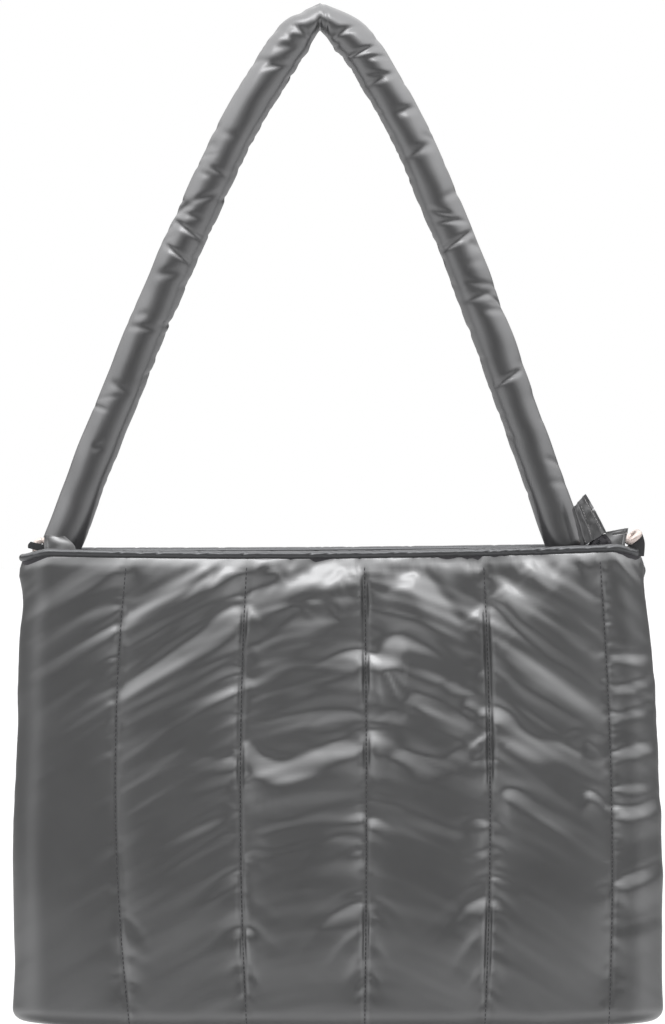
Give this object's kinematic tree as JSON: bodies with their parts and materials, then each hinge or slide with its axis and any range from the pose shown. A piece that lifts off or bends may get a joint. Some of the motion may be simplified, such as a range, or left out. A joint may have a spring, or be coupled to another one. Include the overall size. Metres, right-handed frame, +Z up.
{
  "type": "quilted laptop bag",
  "caption": "Quilted laptop bag with upright padded channels, corded mouth, recessed zip, side rings and a padded tube shoulder strap, shown hanging by the fold of its strap.",
  "frame": {"origin": "the point under the fold of the shoulder strap where the bag hangs from a thin hook", "axes": "+Z up, -Y towards the front, +X to the right as the front is seen"},
  "size_m": [0.3972, 0.0662, 0.6265],
  "materials": {
    "shell_nylon": "metallic grey nylon with a satin sheen, padded and quilted",
    "trim_nylon": "dark grey satin nylon",
    "zip_tape": "matt woven tape",
    "zip_coil": "satin nylon coil",
    "ring_metal": "polished pale rose-silver metal"
  },
  "bodies": {
    "root": {"front_panel": "shell_nylon", "back_panel": "shell_nylon", "mouth_piping": "trim_nylon", "zip_tape_front": "zip_tape", "zip_tape_back": "zip_tape", "zip_teeth": "zip_coil", "zip_slider": "ring_metal", "zip_tail": "zip_tape", "zip_tail_tab": "shell_nylon", "shoulder_strap": "shell_nylon", "ring_left": "ring_metal", "ring_right": "ring_metal", "strap_tab_left": "shell_nylon", "strap_tab_right": "shell_nylon", "side_tab_left": "trim_nylon", "side_tab_right": "trim_nylon"}
  },
  "joints": []
}
